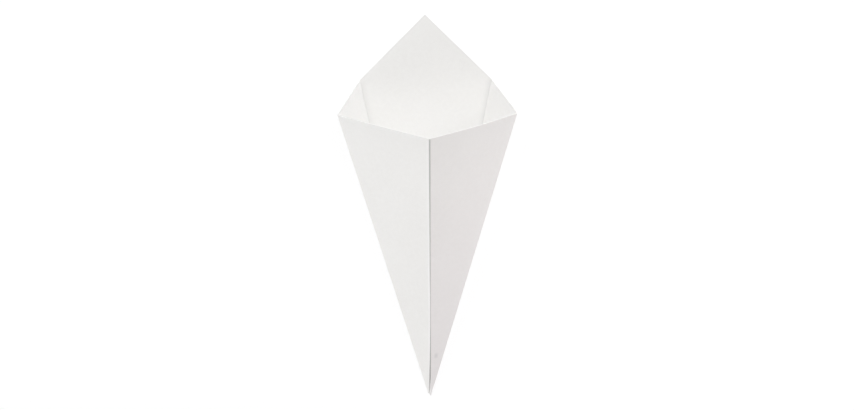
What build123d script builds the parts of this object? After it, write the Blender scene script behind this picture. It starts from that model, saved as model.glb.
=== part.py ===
"""A fry cone, folded from one square sheet of white paperboard and glued along one flap.

It lies on its back panel, as it comes to rest. +Y runs up the middle of the back, from the closed
tip to the pointed peak, +Z is up, and the origin is the middle of the floor that it covers.

The flat sheet is a square that stands on one corner, and that corner becomes the tip. Folds fan
out from it, so a line on the sheet is named by its angle from the sheet's diagonal, which is the
middle of the back. The square's two lower sides meet along the front of the cone, where a flap on
the right-hand one is glued behind the left-hand panel.
"""

import os
from math import acos, atan2, cos, hypot, radians, sin, tan

from build123d import *

# Driving dimensions, in millimetres and degrees
sheet_side = 180.0  # side of the square sheet
board = 0.5  # thickness of the paperboard
back_half_angle = 11.8  # on the sheet, from the diagonal to the fold beside the back panel
side_turn = 59.0  # how far a side panel is turned up out of the back panel's plane
inner_fold_radius = 0.3  # inside of every fold
tip_trim = 2.6  # the cone ends this far above the point where its folds would meet
flap_width = 13.0  # glue flap, from its fold to its free edge
flap_top_taper = 6.0  # how far the flap's free edge stops short of the rim
flap_top_start = 1.5  # from the flap's fold to where its end leaves the rim
flap_tip_angle = 17.0  # between the flap's fold and its lower end, which starts at the tip
cut_edge_at_rim = 1.1  # at the rim the glued panel's cut edge is drawn back from the front by this much
cut_edge_nearest = 0.2  # where it comes nearest to the front it is drawn back by this much
cut_edge_nearest_height = 62.0  # and this far from the tip
cut_edge_clip = 1.3  # beside the tip it is drawn back by this much
cut_edge_clip_length = 20.0  # and over this length

fold_radius = inner_fold_radius + board  # outside of every fold

# Angles on the sheet, from its diagonal
edge_angle = 45.0  # the square's lower sides
side_angle = edge_angle / 2  # with half the corner in front of this fold, the cone folds flat

# The point where the folds would meet, placed so that the origin is the middle of the floor
diagonal = sheet_side / cos(radians(edge_angle))
tip = Vector(0, -(diagonal + tip_trim) / 2, 0)
overlength = 1.5 * diagonal

# Where the sheet's lines point once it is folded, from its left lower side round to its right one
middle = Vector(0, 1, 0)
right_back = middle.rotate(Axis.Z, -back_half_angle)
flat_side = middle.rotate(Axis.Z, -side_angle)
right_side = flat_side.rotate(Axis((0, 0, 0), right_back), -side_turn)
left_back = Vector(-right_back.X, right_back.Y, right_back.Z)
left_side = Vector(-right_side.X, right_side.Y, right_side.Z)
lean = atan2(right_side.Z, right_side.Y)
front_rise = lean + acos(cos(radians(edge_angle - side_angle)) / hypot(right_side.Y, right_side.Z))
front = Vector(0, cos(front_rise), sin(front_rise))
lines = [front, left_side, left_back, right_back, right_side, front]
angles = [-edge_angle, -side_angle, -back_half_angle, back_half_angle, side_angle, edge_angle]

# Each panel's outside, with its x along the panel's first line, and the turn of the sheet at each line
faces = [Plane(origin=tip, x_dir=first, z_dir=first.cross(second)) for first, second in zip(lines, lines[1:])]
turns = [faces[i - 1].z_dir.get_angle(faces[i % len(faces)].z_dir) for i in range(len(lines))]
front_turn = turns[0]


def setback(turn):
    """From a fold's sharp line to where its bend starts."""
    return fold_radius * tan(radians(turn / 2))


def rim_point(line, angle):
    """Where a line of the sheet reaches the square's far edge."""
    return tip + line * (sheet_side / cos(radians(edge_angle - abs(angle))))


def bend_section(face, line, start, arc):
    """Section of a panel's half of a bend, across its line. The arc is negative at a second line."""
    outside = face.z_dir
    into_panel = outside.cross(line) if arc > 0 else line.cross(outside)
    centre = face.origin + into_panel * start - outside * fold_radius
    with BuildSketch(Plane(origin=centre, x_dir=outside, z_dir=line)) as section:
        with BuildLine():
            outer = CenterArc((0, 0), fold_radius, 0, arc)
            inner = CenterArc((0, 0), fold_radius - board, 0, arc)
            Line(outer @ 0, inner @ 0)
            Line(outer @ 1, inner @ 1)
        make_face()
    return section.sketch


def panel(number):
    """One panel of the sheet with its half of the bend at each side, cut off at the rim."""
    face = faces[number]
    first, second = lines[number], lines[number + 1]
    first_angle, second_angle = angles[number], angles[number + 1]
    first_turn, second_turn = turns[number], turns[number + 1]
    first_start, second_start = setback(first_turn), setback(second_turn)
    spread = first.get_angle(second)
    has_cut_edge = number == 0
    carries_flap = number == len(faces) - 1
    if carries_flap:
        second_start += board / sin(radians(front_turn))
    rim = [rim_point(first, first_angle), rim_point(second, second_angle)]
    if first_angle < 0 < second_angle:
        rim.insert(1, rim_point(middle, 0))
    with BuildPart() as piece:
        with BuildSketch(face):
            with BuildLine():
                Polyline((0, 0), (overlength, 0), Vector(overlength, 0).rotate(Axis.Z, spread), close=True)
            make_face()
            Rectangle(2 * overlength, 2 * second_start, rotation=spread, mode=Mode.SUBTRACT)
            if not has_cut_edge:
                Rectangle(2 * overlength, 2 * first_start, mode=Mode.SUBTRACT)
        extrude(amount=-board)
        extrude(bend_section(face, second, second_start, -second_turn / 2), amount=overlength)
        if not has_cut_edge:
            extrude(bend_section(face, first, first_start, first_turn / 2), amount=overlength)
        for start, end in zip(rim, rim[1:]):
            split(bisect_by=Plane(origin=start, z_dir=(end - start).cross(face.z_dir)), keep=Keep.BOTTOM)
    return piece.part


# Beside the tip there is no room for the bends of the narrow side panels, and the board is pressed solid
side_width_per_height = (right_side / right_side.Y - right_back / right_back.Y).length
solid_height = 1.1 * (setback(turns[3]) + setback(turns[4])) / side_width_per_height

# The glued panel's cut edge runs beside the front, and leaves a groove above the flap
with BuildPart() as glued_panel:
    add(panel(0))
    with BuildSketch(faces[0]):
        with BuildLine():
            Polyline(
                (0, 0),
                (sheet_side, 0),
                (sheet_side, cut_edge_at_rim),
                (cut_edge_nearest_height, cut_edge_nearest),
                (solid_height + cut_edge_clip_length, cut_edge_nearest),
                (solid_height, cut_edge_clip),
                (0, cut_edge_clip),
                close=True,
            )
        make_face()
    extrude(amount=-board, mode=Mode.SUBTRACT)

# The flap is folded off the right front panel, one board's thickness behind the left one
flap_face = faces[0].offset(-board)
flap_start = setback(front_turn) - board / tan(radians(front_turn))
with BuildPart() as flap:
    with BuildSketch(flap_face):
        with BuildLine():
            Polyline(
                (0, 0),
                (sheet_side, 0),
                (sheet_side, flap_start + flap_top_start),
                (sheet_side - flap_top_taper, flap_width),
                (flap_width / tan(radians(flap_tip_angle)), flap_width),
                close=True,
            )
        make_face()
        Rectangle(2 * sheet_side, 2 * flap_start, mode=Mode.SUBTRACT)
    extrude(amount=-board)
    extrude(bend_section(flap_face, front, flap_start, front_turn / 2), amount=sheet_side)

# The solid tip lies inside every panel's outside, but the glued panel ends above it
with BuildPart() as solid_tip:
    with Locations(tip):
        Box(2 * solid_height, 2 * solid_height, 2 * solid_height)
    for outside in [flap_face, *faces[1:]]:
        split(bisect_by=outside, keep=Keep.BOTTOM)
    split(bisect_by=Plane(origin=tip + middle * tip_trim, z_dir=middle), keep=Keep.TOP)

with BuildPart() as fry_cone:
    add(glued_panel.part)
    add([panel(number) for number in range(1, len(faces))])
    add(flap.part)
    split(bisect_by=Plane(origin=tip + middle * solid_height, z_dir=middle), keep=Keep.TOP)
    add(solid_tip.part)

fry_cone.part.label = "fry_cone"
os.makedirs("parts", exist_ok=True)
export_step(fry_cone.part, "parts/fry_cone.step")
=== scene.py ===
"""Looks of the fry cone: one folded sheet of white paperboard, lying on its back on a white floor.

The sheet is built in millimetres from its tip and scaled to metres at the end. It repeats the folds
of the CAD model, and adds what that leaves out: bends that shrink towards the tip, a seam that can be
seen into, softened cut edges, a slanted end at the tip, a peak that curls up, and panels that are not
quite flat.
"""

from math import acos, atan2, cos, exp, hypot, radians, sin, tan

import bpy
from mathutils import Matrix, Vector


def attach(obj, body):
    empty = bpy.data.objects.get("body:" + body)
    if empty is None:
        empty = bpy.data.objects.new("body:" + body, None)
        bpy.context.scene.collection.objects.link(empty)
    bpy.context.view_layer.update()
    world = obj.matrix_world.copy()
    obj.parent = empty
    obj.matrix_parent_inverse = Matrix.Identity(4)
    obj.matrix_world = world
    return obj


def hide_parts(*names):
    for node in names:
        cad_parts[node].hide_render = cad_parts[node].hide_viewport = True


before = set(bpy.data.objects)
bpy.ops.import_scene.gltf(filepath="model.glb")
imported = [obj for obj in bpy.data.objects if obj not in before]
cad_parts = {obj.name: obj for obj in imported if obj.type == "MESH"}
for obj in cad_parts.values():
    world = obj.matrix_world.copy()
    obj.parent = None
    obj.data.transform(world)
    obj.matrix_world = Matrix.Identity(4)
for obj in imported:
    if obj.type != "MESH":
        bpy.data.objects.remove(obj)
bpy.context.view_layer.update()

MM = 0.001

# The folded sheet, in millimetres and degrees, as in the CAD model
SHEET_SIDE = 180.0
BOARD = 0.5
FOLD_RADIUS = 0.8  # outside of a fold, away from the tip
BACK_HALF_ANGLE = 11.8
SIDE_TURN = 59.0
SIDE_ANGLE = 22.5
EDGE_ANGLE = 45.0
TIP_TRIM = 2.6
FLAP_WIDTH = 13.0
FLAP_TOP_TAPER = 6.0
FLAP_TOP_START = 1.5
FLAP_TIP_ANGLE = 17.0
DIAGONAL = SHEET_SIDE / cos(radians(EDGE_ANGLE))
TIP = Vector((0, -(DIAGONAL + TIP_TRIM) / 2, 0))

# Numbers of the panels and of the lines between them. The front is two lines: a cut edge and a fold
PANELS = 5
LEFT_FRONT, BACK, RIGHT_FRONT = 0, 2, 4
CUT_LINE, LEFT_SIDE_FOLD, LEFT_BACK_FOLD, RIGHT_BACK_FOLD, GLUED_FOLD = 0, 1, 2, 3, 5

# Shapes that the scene adds
FOLD_RADIUS_AT_TIP = 25.0  # times the way up from the tip, where that is less than the fold's radius
THINNEST = 0.85  # board against the fold's radius, where that is too small for the full board
GLUE = 0.03  # between the flap and the left front panel
FLAP_NARROWEST = 0.05  # at the tip
CORNER = 0.08  # rounding of a cut edge
ROUNDING = [(0.71, 0.29), (1.0, 1.0)]  # out and in, at two points of a rounding, as shares of it
INSET_LIMIT = 0.3  # a cut edge is drawn in by no more than this share of the board
TIP_EDGE = (0.7, 0.3)  # two points of the edge at the tip, as shares of the board
PLY_TIP = 5.9  # the glued panel's cut edge ends this far from the tip
# The glued panel's cut edge: distance from the tip, and how far it is drawn back from the front line
CUT_EDGE = [
    (0.0, 2.0), (5.5, 1.5), (6.2, 1.2), (7.0, 1.0), (8.5, 0.9), (10.0, 0.86), (13.5, 0.79),
    (18.0, 0.68), (23.0, 0.54), (31.5, 0.34), (42.0, 0.22), (62.0, 0.14), (83.0, 0.3), (103.0, 0.5),
    (124.0, 0.66), (145.0, 0.78), (162.0, 0.88), (175.0, 0.95), (200.0, 0.97),
]
BOW = [0.0, 0.2, 0.0, 0.1, 1.5]  # at the rim, each panel is bowed outwards by this much
LONGER = [0.2, 0.65, 0.05, -0.05, 0.8, 0.3]  # and each line reaches this much further
PEAK_SHORTER = 0.4  # but the peak reaches this much less
CURL = 1.0  # the peak is curled up off the floor by this much
CURL_START = 190.0  # from this far from the tip
# Where the sheet ends at the tip: x over y, and distance from the tip
TIP_END = [(-9.0, 6.0), (-0.45, 6.0), (-0.12, 4.2), (0.0, 3.1), (9.0, 3.1)]
# The solid core of the tip: how far its two ends are from the tip, and how deep in the board it lies there
TIP_CORE = [(0.0, 0.13), (7.0, 0.28)]
CORE_PROUD = 0.08  # it reaches this much lower than the sheet
BEAD = 0.2  # the crease pushes the board in by this much, on the side panels' side of a fold
BEAD_AT = 0.12  # this far from the fold
GROOVE = 0.12  # and presses it this much thinner on the other side
GROOVE_AT = -0.5
CREASE_WIDTH = 0.3
BEND_LENGTH = 0.7  # of a bend in the middle of the board, against its outside

# Tones that the scene adds, among them painted shade and a painted highlight. Each list has distances in
# millimetres and shares.
# Painted shade in the seam's crevice, by distance from the tip, and how near to the rim it fades
SEAM_SHADE = [
    (0.0, 0.0), (5.0, 0.1), (7.0, 0.45), (9.5, 0.6), (12.0, 0.62), (15.0, 0.72), (18.0, 0.85), (27.0, 1.0),
    (43.0, 0.9), (62.0, 0.72), (83.0, 0.54), (99.0, 0.5), (145.0, 0.5), (176.0, 0.6), (200.0, 0.6),
]
SEAM_FADE = 1.2
SEAM_ON_FLAP = 0.3  # share of the flap's width where the seam's shade ends
SEAM_SHARPNESS = 12  # how fast the shade starts, half way round the front's bend
# How much raw fibre shows on a rim's edge, at the tip and inside a cut edge, and how light a strip beside
# the front's cut edge is
RIM_RAW = 0.8
TIP_RAW = 0.5
INSIDE_RAW = 0.5
CUT_STRIP, CUT_STRIP_WIDTH = 0.9, 1.2
# Along some of the front's cut edge the strip is lighter still: distance from the tip and factor
CUT_STRIP_ALONG = [(0.0, 1.0), (60.0, 1.0), (76.0, 1.6), (128.0, 1.6), (145.0, 1.15), (200.0, 1.0)]
# A painted highlight on the front fold beside the tip, where it is pressed sharp, by distance from the tip
TIP_HIGHLIGHT = [(0.0, 1.0), (8.0, 0.8), (11.0, 0.6), (15.0, 0.0), (200.0, 0.0)]
TIP_HIGHLIGHT_WIDTH = 1.4
# Painted shade inside and outside along the rim, by distance from it
RIM_SHADE = [(0.0, 0.25), (0.5, 0.2), (1.2, 0.05), (1.5, 0.0), (300.0, 0.0)]
OUTER_RIM_SHADE = [
    (0.0, 0.27), (3.0, 0.24), (7.0, 0.18), (12.0, 0.13), (20.0, 0.07), (30.0, 0.0), (300.0, 0.0),
]
# Painted shade inside the back panel beside its two folds, by distance from the fold
FOLD_SHADE = {
    LEFT_BACK_FOLD: [
        (0.0, 0.9), (0.35, 0.85), (0.8, 0.42), (1.4, 0.35), (2.2, 0.25), (3.6, 0.1), (5.5, 0.0), (99.0, 0.0),
    ],
    RIGHT_BACK_FOLD: [
        (0.0, 1.0), (0.35, 0.95), (0.8, 0.7), (1.4, 0.55), (2.2, 0.38), (3.6, 0.14), (5.0, 0.0), (99.0, 0.0),
    ],
}
FOLD_SHADE_AT_RIM = 0.3  # share of it that is left at the rim
FOLD_SHADE_FADE = 5.0  # it grows back by one in so many millimetres, until it is whole
# A faint grey spot on the right front panel: distance from the tip and from the front, and its two radii
SPOT_UP, SPOT_ACROSS = 30.8, 5.3
SPOT_INNER, SPOT_OUTER = 0.3, 2.4
SPOT_SHARE = 0.65  # inside the smaller radius

# How fine the mesh is
ROWS = 150
ROW_CROWDING = 1.5  # the rows crowd towards the tip
RIM_ROWS = [1.2, 0.5, 0.15]  # further rows this far from the rim
BEND_STEPS = 12
# Columns beside a bend or a cut edge: distance from it in millimetres, and its greatest share of the panel
NEAR = [
    (0.0, 0.0), (0.12, 0.02), (0.25, 0.04), (0.4, 0.06), (0.6, 0.08), (0.85, 0.1), (1.2, 0.125),
    (1.8, 0.155), (2.8, 0.19), (4.5, 0.23),
]
MIDDLE = [0.29, 0.36, 0.43, 0.5, 0.57, 0.64, 0.71]
FLAP_COLUMNS = (0, 0.05, 0.15, 0.3, 0.5, 0.7, 0.85, 0.95, 1)
SMOOTHED = 35  # edges of up to so many degrees are shaded smooth


def turned(vector, axis, angle):
    """The vector turned about an axis, by degrees."""
    return Matrix.Rotation(radians(angle), 3, axis) @ vector


def between(low, high, way):
    """From one value to another."""
    return low + (high - low) * way


def table(pairs, at):
    """Reads a table of pairs, with straight runs in between."""
    for (x0, y0), (x1, y1) in zip(pairs, pairs[1:]):
        if at <= x1:
            return between(y0, y1, (at - x0) / (x1 - x0))
    return pairs[-1][1]


# Where the sheet's lines point, from the cut edge of the left front panel round to the glued fold
right_back = turned(Vector((0, 1, 0)), "Z", -BACK_HALF_ANGLE)
right_side = turned(turned(Vector((0, 1, 0)), "Z", -SIDE_ANGLE), right_back, -SIDE_TURN)
left_back = Vector((-right_back.x, right_back.y, right_back.z))
left_side = Vector((-right_side.x, right_side.y, right_side.z))
front_rise = atan2(right_side.z, right_side.y) + acos(
    cos(radians(EDGE_ANGLE - SIDE_ANGLE)) / hypot(right_side.y, right_side.z)
)
front = Vector((0, cos(front_rise), sin(front_rise)))
LINES = [front, left_side, left_back, right_back, right_side, front]
ANGLES = [-EDGE_ANGLE, -SIDE_ANGLE, -BACK_HALF_ANGLE, BACK_HALF_ANGLE, SIDE_ANGLE, EDGE_ANGLE]
REACH = [SHEET_SIDE / cos(radians(EDGE_ANGLE - abs(angle))) for angle in ANGLES]
RIM = [line * (reach + longer) for line, reach, longer in zip(LINES, REACH, LONGER)]
PEAK = Vector((0, DIAGONAL - PEAK_SHORTER, 0))
OUTSIDE = [first.cross(second).normalized() for first, second in zip(LINES, LINES[1:])]
TURNS = [OUTSIDE[k - 1].angle(OUTSIDE[k % PANELS]) for k in range(PANELS + 1)]
# Across the panel, away from its first line and away from its second one
FROM_FIRST = [OUTSIDE[k].cross(LINES[k]) for k in range(PANELS)]
FROM_SECOND = [LINES[k + 1].cross(OUTSIDE[k]) for k in range(PANELS)]


def slant(run, along, across):
    """How far a row climbs along a line for each step away from it."""
    return run.dot(along) / run.dot(across)


FIRST_SLANT = [
    slant((PEAK if k == BACK else RIM[k + 1]) - RIM[k], LINES[k], FROM_FIRST[k]) for k in range(PANELS)
]
SECOND_SLANT = [
    slant((PEAK if k == BACK else RIM[k]) - RIM[k + 1], LINES[k + 1], FROM_SECOND[k])
    for k in range(PANELS)
]


def radius(way):
    """Outside radius of a fold, at a way from the tip, 0, to the rim, 1."""
    return min(FOLD_RADIUS, FOLD_RADIUS_AT_TIP * way)


def thickness(way):
    """Thickness of the board, which is pressed thinner beside the tip."""
    return min(BOARD, THINNEST * radius(way))


def setback(line, way):
    """From a fold's sharp line to where its bend starts."""
    return radius(way) * tan(TURNS[line] / 2)


def flap_drop(way):
    """How far the flap's outside lies behind the outside of the left front panel."""
    return thickness(way) + GLUE


def half_bend(line):
    """Half the length of a bend."""
    return FOLD_RADIUS * TURNS[line] / 2 * BEND_LENGTH


def panel_point(number, place, way):
    """A point on a panel's outside. The place is a share of the panel's width, or a distance and its
    greatest share, from the panel's first side or, where they are negative, from its second one."""
    first = table(CUT_EDGE, way * SHEET_SIDE) if number == LEFT_FRONT else setback(number, way)
    second = setback(number + 1, way)
    if number == RIGHT_FRONT:
        second += flap_drop(way) / sin(TURNS[GLUED_FOLD])
    start = RIM[number] * way + first * (FROM_FIRST[number] + LINES[number] * FIRST_SLANT[number])
    end = RIM[number + 1] * way
    end = end + second * (FROM_SECOND[number] + LINES[number + 1] * SECOND_SLANT[number])
    middle = PEAK * way if number == BACK else (start + end) / 2
    if isinstance(place, tuple):
        distance, share = place
        half = (middle - start).length
        across = min(abs(distance) / half / 2, abs(share))
        if share < 0:
            across = 1 - across
    else:
        across = place
    point = start.lerp(middle, across * 2) if across < 0.5 else middle.lerp(end, across * 2 - 1)
    bow = BOW[number] * (1 - (2 * across - 1) ** 2) * way**3
    return point + OUTSIDE[number] * bow, OUTSIDE[number]


def bend_point(line, across, way):
    """A point on the outside of a bend."""
    before, after = line - 1, line % PANELS
    start = setback(line, way)
    if line == GLUED_FOLD:
        first = start + flap_drop(way) / sin(TURNS[GLUED_FOLD])
        climb = 0
    else:
        first = start
        climb = between(start * SECOND_SLANT[before], start * FIRST_SLANT[after], across)
    turn = TURNS[line] * across
    direction = OUTSIDE[before] * cos(turn) - FROM_SECOND[before] * sin(turn)
    centre = RIM[line] * way + FROM_SECOND[before] * first - OUTSIDE[before] * radius(way)
    return centre + LINES[line] * climb + direction * radius(way), direction


def flap_point(across, way):
    """A point on the flap's outside, which is glued behind the left front panel."""
    start = setback(GLUED_FOLD, way) - flap_drop(way) / tan(TURNS[GLUED_FOLD])
    width = min(FLAP_WIDTH, way * SHEET_SIDE * tan(radians(FLAP_TIP_ANGLE)))
    away = between(start, max(width, start + FLAP_NARROWEST), across)
    taper = FLAP_TOP_TAPER * max(0, away - FLAP_TOP_START) / (FLAP_WIDTH - FLAP_TOP_START)
    behind = OUTSIDE[LEFT_FRONT] * flap_drop(way)
    point = front * (way * (SHEET_SIDE - taper)) - behind + FROM_FIRST[LEFT_FRONT] * away
    return point, OUTSIDE[LEFT_FRONT]


def crease(line, side, distance):
    """How much the board is thicker on its inside at a crease. The side is 1 in the panel after the
    line and -1 in the one before it."""
    to_side_panel = side if line in (LEFT_SIDE_FOLD, RIGHT_BACK_FOLD) else -side
    at = distance * to_side_panel
    bead = BEAD * exp(-(((at - BEAD_AT) / CREASE_WIDTH) ** 2))
    return bead - GROOVE * exp(-(((at - GROOVE_AT) / CREASE_WIDTH) ** 2))


def column(point, bottom=0.0, thicker=0.0, raw_and_highlight=0.0, seam=0.0, fold=0.0, inset=0.0, pressed=0.0):
    """One column of the sheet, with a function for its point and outward direction, and the height
    where it starts. The board is thicker at a crease, and drawn in by the inset at a cut edge. The
    outside shows raw fibre, a lighter strip beside the front's cut edge, painted shade in the seam and
    a painted highlight on the front fold beside the tip, and the inside shows painted shade beside a fold."""
    return {
        "point": point, "bottom": bottom, "thicker": thicker, "raw_and_highlight": raw_and_highlight, "seam": seam, "fold": fold,
        "inset": inset, "pressed": pressed,
    }


def panel_column(number, place):
    """A column in a panel, at a place as for panel_point."""
    def point(way):
        return panel_point(number, place, way)

    if isinstance(place, float):
        share, distance, side = place, 99.0, 1
    else:
        share, distance, side = place[1] % 1, abs(place[0]), 1 if place[1] >= 0 else -1
    line = number if side == 1 else number + 1
    bottom = PLY_TIP * (1 - share) if number == LEFT_FRONT else 0.0
    away = half_bend(line) + distance
    thicker = 0.0 if line in (CUT_LINE, GLUED_FOLD) else crease(line, side, away)
    raw_and_highlight = CUT_STRIP * max(0, 1 - distance / CUT_STRIP_WIDTH) if line == CUT_LINE else 0.0
    # Painted shade inside the back panel beside its folds
    fold = table(FOLD_SHADE[line], away) if number == BACK else 0.0
    # A painted highlight beside the glued fold, near the tip
    pressed = max(0, 1 - distance / TIP_HIGHLIGHT_WIDTH) if line == GLUED_FOLD else 0.0
    return column(point, bottom, thicker, raw_and_highlight, fold=fold, pressed=pressed)


def bend_column(line, across):
    """A column in the bend at a line."""
    def point(way):
        return bend_point(line, across, way)

    # The glued fold's bend carries painted shade of the seam from half way round, and the painted highlight
    # beside the tip
    if line == GLUED_FOLD:
        seam = max(0.0, min(1.0, (across - 0.5) * SEAM_SHARPNESS + 0.5))
        return column(point, seam=seam, pressed=1.0)
    away = half_bend(line) * (2 * across - 1)
    on_back = line in FOLD_SHADE and (line == LEFT_BACK_FOLD) == (away > 0)
    fold = table(FOLD_SHADE[line], abs(away)) if on_back else 0.0
    return column(point, thicker=crease(line, 1, away), fold=fold)


def flap_column(across):
    """A column in the flap."""
    def point(way):
        return flap_point(across, way)

    # Painted shade of the seam on the flap beside the fold
    return column(point, seam=1.0 if across < SEAM_ON_FLAP else 0.0)


def beyond(edge, direction, distance, inset):
    """A further column, beyond a column at a cut edge."""
    def point(way):
        place, outside = edge["point"](way)
        return place + direction * distance, outside

    return column(point, edge["bottom"], raw_and_highlight=1.0, inset=inset)


def make_columns():
    """The sheet's columns from one cut edge to the other."""
    columns = []
    for number in range(PANELS):
        places = [*NEAR, *MIDDLE, *((-distance, -max(share, 1e-9)) for distance, share in reversed(NEAR))]
        columns += [panel_column(number, place) for place in places]
        columns += [bend_column(number + 1, step / BEND_STEPS) for step in range(1, BEND_STEPS)]
    columns += [flap_column(across) for across in FLAP_COLUMNS]
    inwards = FROM_FIRST[LEFT_FRONT]
    first = [beyond(columns[0], -inwards, CORNER * out, CORNER * inset) for out, inset in ROUNDING]
    last = [beyond(columns[-1], inwards, CORNER * out, CORNER * inset) for out, inset in ROUNDING]
    return [*reversed(first), *columns, *last]


def outside_tones(column, place, from_rim, raw_and_highlight):
    """How much an outside point shows raw fibre and painted highlight, painted seam shade and painted rim
    shade. A raw edge has no painted shade.
    """
    # A painted highlight on the front fold beside the tip; the painted seam shade gives way to it
    pressed = column["pressed"] * table(TIP_HIGHLIGHT, place.length)
    shade = table(SEAM_SHADE, place.length) * (1 - pressed) * min(1, from_rim / SEAM_FADE)
    # Raw fibre at a cut edge's rounding, and the lighter strip beside the front's cut edge
    fibre = min(1, column["raw_and_highlight"] * table(CUT_STRIP_ALONG, place.length))
    # Painted shade outside along the rim, none on a raw edge
    painted_rim_shade = 0.0 if raw_and_highlight else table(OUTER_RIM_SHADE, from_rim)
    return max(raw_and_highlight, fibre, pressed), column["seam"] * shade, painted_rim_shade


def inside_tones(column, from_rim):
    """The same for an inside point, which has painted shade beside a fold and along the rim."""
    raw_and_highlight = INSIDE_RAW if column["inset"] else 0.0
    fold = column["fold"] * min(1, FOLD_SHADE_AT_RIM + from_rim / FOLD_SHADE_FADE)
    # Painted shade beside a fold, and painted shade inside along the rim
    return raw_and_highlight, 0.0, max(fold, table(RIM_SHADE, from_rim))


def sheet_mesh():
    """Closed mesh of the folded sheet: points in metres, faces, and how much each point shows raw
    fibre with a lighter strip and a painted highlight, painted seam shade and painted shade."""
    steps = [(row / ROWS) ** ROW_CROWDING for row in range(ROWS + 1)]
    points, loops, shows = [], [], []
    for column in make_columns():
        point = column["point"]
        end = point(1)[0]
        low = max(column["bottom"], table(TIP_END, end.x / end.y)) / end.y
        high = 1 - CORNER / end.length
        ways = [between(low, high, step) for step in steps]
        ways[-1:] = [high - distance / end.length for distance in (*RIM_ROWS, 0)]
        loop = []

        def put(way, depth, out=0.0, raw_and_highlight=0.0, inner=False):
            """Adds a point this deep in the board, and this far out beyond the column's end."""
            place, outside = point(way)
            board = thickness(way)
            drawn = min(column["inset"], board * INSET_LIMIT)
            if inner:
                board += column["thicker"] * min(1, radius(way) / FOLD_RADIUS) ** 2
            depth = max(drawn, min(board - drawn, depth))
            loop.append(len(points))
            curl = Vector((0, 0, CURL * (max(0, place.y - CURL_START) / (DIAGONAL - CURL_START)) ** 2))
            points.append((TIP + place + curl - outside * depth + place.normalized() * out) * MM)
            from_rim = (1 - way) * end.length
            if inner:
                shows.append(inside_tones(column, from_rim))
            else:
                shows.append(outside_tones(column, place, from_rim, raw_and_highlight))

        for way in ways:
            put(way, 0)
        for out, depth in ROUNDING:
            put(high, CORNER * depth, CORNER * out, RIM_RAW)
        for out, depth in reversed(ROUNDING):
            put(high, BOARD - CORNER * depth, CORNER * out, RIM_RAW)
        for way in reversed(ways):
            put(way, 2 * BOARD, inner=True)
        for share in TIP_EDGE:
            put(low, thickness(low) * share, -CORNER / 2, TIP_RAW)
        loops.append(loop)
    faces = []
    size = len(loops[0])
    for one, other in zip(loops, loops[1:]):
        for i in range(size):
            j = (i + 1) % size
            faces.append((one[j], other[j], other[i], one[i]))
    # The first and the last column are closed off
    rows = len(ways)
    top_end = rows + 2 * len(ROUNDING)
    for loop, flip in ((loops[0], True), (loops[-1], False)):
        outer, top, under = loop[:rows], loop[rows:top_end], loop[top_end + rows:]
        inner = loop[top_end:top_end + rows][::-1]
        caps = [(outer[i], outer[i + 1], inner[i + 1], inner[i]) for i in range(rows - 1)]
        caps.append((outer[-1], *top, inner[-1]))
        caps.append((inner[0], *under, outer[0]))
        faces += [cap[::-1] for cap in caps] if flip else caps
    return points, faces, shows


def fill_tip(points, faces, shows):
    """Adds the core of the tip, where the board is pressed solid. It lies inside the flap and the other
    panels, and closes the tip's end."""
    along = Vector((0, 1, 0))
    corners = [(LINES[k], k - 1, k) for k in range(PANELS)]
    corners.insert(3, (along, None, BACK))
    start = len(points)
    for core, inset in TIP_CORE:
        for line, one, other in corners:
            level = max(core, table(TIP_END, line.x / line.y) - CORE_PROUD)
            planes, depths = [], []
            for panel in (one, other):
                planes.append(Vector((1, 0, 0)) if panel is None else OUTSIDE[panel])
                below_flap = flap_drop(level / SHEET_SIDE) if panel == LEFT_FRONT else 0.0
                depths.append(0.0 if panel is None else -inset - below_flap)
            corner = Matrix((*planes, along)).inverted() @ Vector((*depths, level))
            points.append((TIP + corner) * MM)
            shows.append((TIP_RAW, 0.0, 0.0))
    faces += [tuple(start + k for k in (0, 1, 2, 3)), tuple(start + k for k in (0, 3, 4, 5))]
    size = len(corners)
    faces.append(tuple(reversed(range(start + size, start + 2 * size))))
    for k in range(size):
        j = (k + 1) % size
        faces.append((start + j, start + k, start + size + k, start + size + j))


def link(name, points, faces):
    """Makes a mesh object and shades it smooth, with sharp edges kept."""
    mesh = bpy.data.meshes.new(name)
    mesh.from_pydata([tuple(p) for p in points], [], faces)
    mesh.validate()
    mesh.shade_smooth()
    mesh.set_sharp_from_angle(angle=radians(SMOOTHED))
    piece = bpy.data.objects.new(name, mesh)
    bpy.context.scene.collection.objects.link(piece)
    return piece


# Tones of the paperboard, as linear colours. The last three are those of the mesh's attributes: raw fibre
# with a lighter strip and a painted highlight, painted shade in the seam, and painted shade beside the folds
# and along the rim
DARKER = (0.853, 0.8435, 0.825, 1)
LIGHTER = (0.869, 0.8605, 0.843, 1)
MOTTLED = (0.901, 0.8945, 0.877, 1)
FIBROUS = (0.811, 0.7995, 0.777, 1)
GREY = (0.68, 0.68, 0.67, 1)
SHOWN = {
    # raw fibre, the lighter strip beside the front's cut edge, and the painted highlight beside the tip
    "raw_and_highlight": (0.97, 0.965, 0.955, 1),
    # painted shade in the seam's crevice
    "seam": (0.22, 0.218, 0.213, 1),
    # painted shade beside the back's folds and along the rim
    "fold": (0.74, 0.735, 0.72, 1),
}

points, faces, shows = sheet_mesh()
fill_tip(points, faces, shows)
sheet = link("folded_sheet", points, faces)
for name, values in zip(SHOWN, zip(*shows)):
    sheet.data.attributes.new(name, "FLOAT", "POINT").data.foreach_set("value", values)


def new_material(name):
    """A new material, with its nodes, their links and its shader."""
    material = bpy.data.materials.new(name)
    material.use_nodes = True
    nodes, links = material.node_tree.nodes, material.node_tree.links
    return material, nodes, links, nodes["Principled BSDF"]


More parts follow.
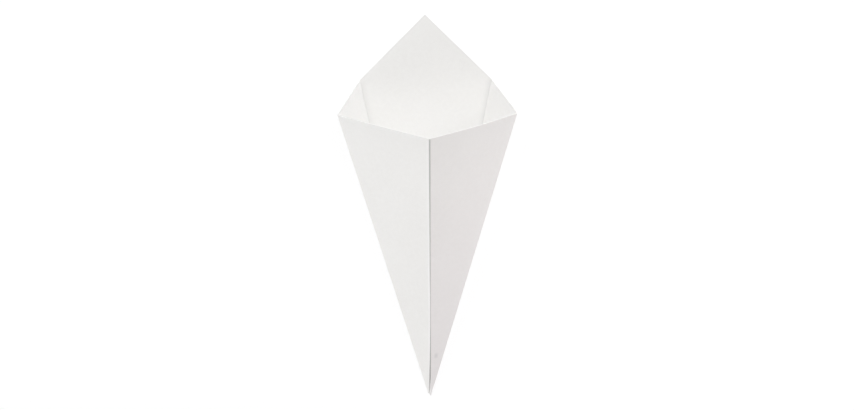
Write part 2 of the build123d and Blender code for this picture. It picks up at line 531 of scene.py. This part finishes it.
def node(kind, inputs=(), **settings):
    """A new node of the current material. Inputs are values, or sockets to link from."""
    made = nodes.new(kind)
    for key, value in settings.items():
        setattr(made, key, value)
    for key, value in dict(inputs).items():
        if isinstance(value, bpy.types.NodeSocket):
            links.new(value, made.inputs[key])
        else:
            made.inputs[key].default_value = value
    return made


def tinted(colour, factor, other):
    """Mixes a colour towards another by a factor. Of this node's sockets, 6, 7 and 2 are the colours."""
    mix = node("ShaderNodeMix", {"Factor": factor}, data_type="RGBA")
    for socket, value in ((mix.inputs[6], colour), (mix.inputs[7], other)):
        if isinstance(value, bpy.types.NodeSocket):
            links.new(value, socket)
        else:
            socket.default_value = value
    return mix.outputs[2]


def ranged(value, low, high, to_low=0.0, to_high=1.0):
    """Maps a value's range to another one, and keeps it inside."""
    made = node("ShaderNodeMapRange", {0: value, 1: low, 2: high, 3: to_low, 4: to_high})
    return made.outputs[0]


# The paperboard: a slow change of tone, a fine mottle and fibres, in its colour and its surface
paper, nodes, links, shader = new_material("paperboard")
place = node("ShaderNodeTexCoord").outputs["Object"]
tone = node("ShaderNodeTexNoise", {"Vector": place, "Scale": 28.0, "Detail": 2.0}).outputs["Fac"]
mottle = node("ShaderNodeTexNoise", {"Vector": place, "Scale": 420.0, "Detail": 3.0}).outputs["Fac"]
fibre = node(
    "ShaderNodeTexNoise", {"Vector": place, "Scale": 1900.0, "Detail": 4.0, "Distortion": 0.6}
).outputs["Fac"]
colour = tinted(DARKER, ranged(tone, 0.3, 0.7), LIGHTER)
colour = tinted(colour, ranged(mottle, 0.35, 0.75, 0.0, 0.5), MOTTLED)
colour = tinted(colour, ranged(fibre, 0.35, 0.75, 0.0, 0.3), FIBROUS)
# The mesh's attributes tint it: raw fibre with the lighter strip and a painted highlight, painted shade in
# the seam, and painted shade beside the back's folds and along the rim
for name, other in SHOWN.items():
    shown = node("ShaderNodeAttribute", attribute_name=name).outputs["Fac"]
    colour = tinted(colour, shown, other)
spot = (TIP + front * SPOT_UP + FROM_SECOND[RIGHT_FRONT] * SPOT_ACROSS) * MM
from_spot = node("ShaderNodeVectorMath", {0: place, 1: spot}, operation="DISTANCE").outputs["Value"]
colour = tinted(colour, ranged(from_spot, SPOT_INNER * MM, SPOT_OUTER * MM, SPOT_SHARE, 0.0), GREY)
links.new(colour, shader.inputs["Base Color"])
links.new(ranged(fibre, 0.3, 0.7, 0.58, 0.7), shader.inputs["Roughness"])
shader.inputs["Specular IOR Level"].default_value = 0.3
height = node("ShaderNodeMath", {0: mottle, 1: fibre}, operation="ADD").outputs[0]
bump = node("ShaderNodeBump", {"Height": height, "Strength": 0.5, "Distance": 0.02 * MM})
links.new(bump.outputs[0], shader.inputs["Normal"])
sheet.data.materials.append(paper)

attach(sheet, "root")
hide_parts("fry_cone")


def seen_directly():
    """1 for the rays in which the white surroundings are seen, and 0 for those that light the cone."""
    path = node("ShaderNodeLightPath").outputs
    inputs = {0: path["Is Camera Ray"], 1: path["Is Glossy Ray"]}
    either = node("ShaderNodeMath", inputs, operation="MAXIMUM")
    inputs = {0: either.outputs[0], 1: path["Is Transmission Ray"]}
    return node("ShaderNodeMath", inputs, operation="MAXIMUM").outputs[0]


# The floor, which is seen white, with the sheet's shadow on it. Sizes are in metres
FLOOR_HALF = 3.0
FLOOR_LEVEL = -0.0001
floor_material, nodes, links, shader = new_material("white_floor")
shader.inputs["Base Color"].default_value = (0.9, 0.9, 0.9, 1)
shader.inputs["Roughness"].default_value = 1
shader.inputs["Specular IOR Level"].default_value = 0
place = node("ShaderNodeTexCoord").outputs["Object"]
away = node("ShaderNodeVectorMath", {0: place}, operation="LENGTH").outputs["Value"]
# The part that the lamps light shows the shadow, and brings the rest up to white near the sheet
white = node("ShaderNodeEmission", {"Strength": ranged(away, 0.3, 1.0, 0.88, 1.0)})
shade = node("ShaderNodeBsdfDiffuse", {"Color": (0.15, 0.15, 0.15, 1)})
seen = node("ShaderNodeAddShader", {0: white.outputs[0], 1: shade.outputs[0]})
mix = node("ShaderNodeMixShader", {0: seen_directly(), 1: shader.outputs[0], 2: seen.outputs[0]})
links.new(mix.outputs[0], nodes["Material Output"].inputs["Surface"])
corners = [(-1, -1), (1, -1), (1, 1), (-1, 1)]
floor = link("floor", [(x * FLOOR_HALF, y * FLOOR_HALF, FLOOR_LEVEL) for x, y in corners], [(0, 1, 2, 3)])
floor.data.materials.append(floor_material)

# The surroundings are seen white too, and give no light
world = bpy.data.worlds.new("studio")
bpy.context.scene.world = world
world.use_nodes = True
nodes, links = world.node_tree.nodes, world.node_tree.links
background = nodes["Background"]
background.inputs["Color"].default_value = (1, 1, 1, 1)
links.new(seen_directly(), background.inputs["Strength"])


def lamp(name, azimuth, height, distance, power, colour=(1, 1, 1)):
    """A square lamp, two thirds as wide as it is far away. It looks at the middle of the cone, from so
    many degrees round it and above the floor."""
    data = bpy.data.lights.new(name, "AREA")
    data.size = distance * 2 / 3
    data.energy = power
    data.color = colour
    piece = bpy.data.objects.new(name, data)
    away = turned(Vector((cos(radians(height)), 0, sin(radians(height)))), "Z", azimuth)
    piece.location = away * distance
    piece.rotation_mode = "QUATERNION"
    piece.rotation_quaternion = (-away).to_track_quat("-Z", "Y")
    bpy.context.scene.collection.objects.link(piece)


FAR, NEAR_BY = 1.2, 0.45
BLUE = (0.96, 0.965, 1)
PALE_BLUE = (0.98, 0.98, 1)
CYAN = (0.965, 0.98, 1)
PINK = (1, 0.87, 0.95)
WARM = (1, 0.96, 0.88)
lamp("upper_right_lamp", 45, 10, FAR, 7.3, BLUE)
lamp("upper_left_lamp", 135, 10, FAR, 6.48, PALE_BLUE)
lamp("lower_left_lamp", 225, 10, FAR, 9.05)
lamp("high_left_lamp", 135, 45, FAR, 4.75)
lamp("overhead_lamp", 45, 70, FAR, 5.45, CYAN)
lamp("right_lamp", 0, 12, NEAR_BY, 0.195)
lamp("lower_right_lamp", 315, 12, NEAR_BY, 0.435, PINK)
lamp("high_right_lamp", 0, 55, NEAR_BY, 0.315, WARM)

# The camera looks down on the cone, from where the photograph was taken
WIDTH, HEIGHT = 854, 410  # of the picture, in pixels
AIM_ACROSS, AIM_DOWN = 427.37, 205.7  # pixel where the middle of the sheet's diagonal is seen
PITCH, YAW, ROLL = 2.455, 1.506, 0.769
PIXELS_PER_DIAGONAL = 385.74
NEARNESS = 0.319  # the sheet's diagonal against the camera's distance
SENSOR = 36  # width in millimetres
aim = Vector((0, -TIP_TRIM / 2 * MM, 0))
turn = (
    Matrix.Rotation(radians(ROLL), 3, "Z")
    @ Matrix.Rotation(radians(-PITCH), 3, "X")
    @ Matrix.Rotation(radians(YAW), 3, "Y")
)
right = (WIDTH / 2 - AIM_ACROSS) / PIXELS_PER_DIAGONAL
up = (AIM_DOWN - HEIGHT / 2) / PIXELS_PER_DIAGONAL
offset = Vector((right, up, 1 / NEARNESS))
camera_data = bpy.data.cameras.new("camera")
camera_data.sensor_width = SENSOR
camera_data.lens = PIXELS_PER_DIAGONAL / NEARNESS * SENSOR / WIDTH
camera = bpy.data.objects.new("camera", camera_data)
camera.rotation_mode = "QUATERNION"
camera.rotation_quaternion = turn.transposed().to_quaternion()
camera.location = aim + turn.transposed() @ (offset * DIAGONAL * MM)
bpy.context.scene.collection.objects.link(camera)
bpy.context.scene.camera = camera

bpy.context.scene.view_settings.view_transform = "Standard"
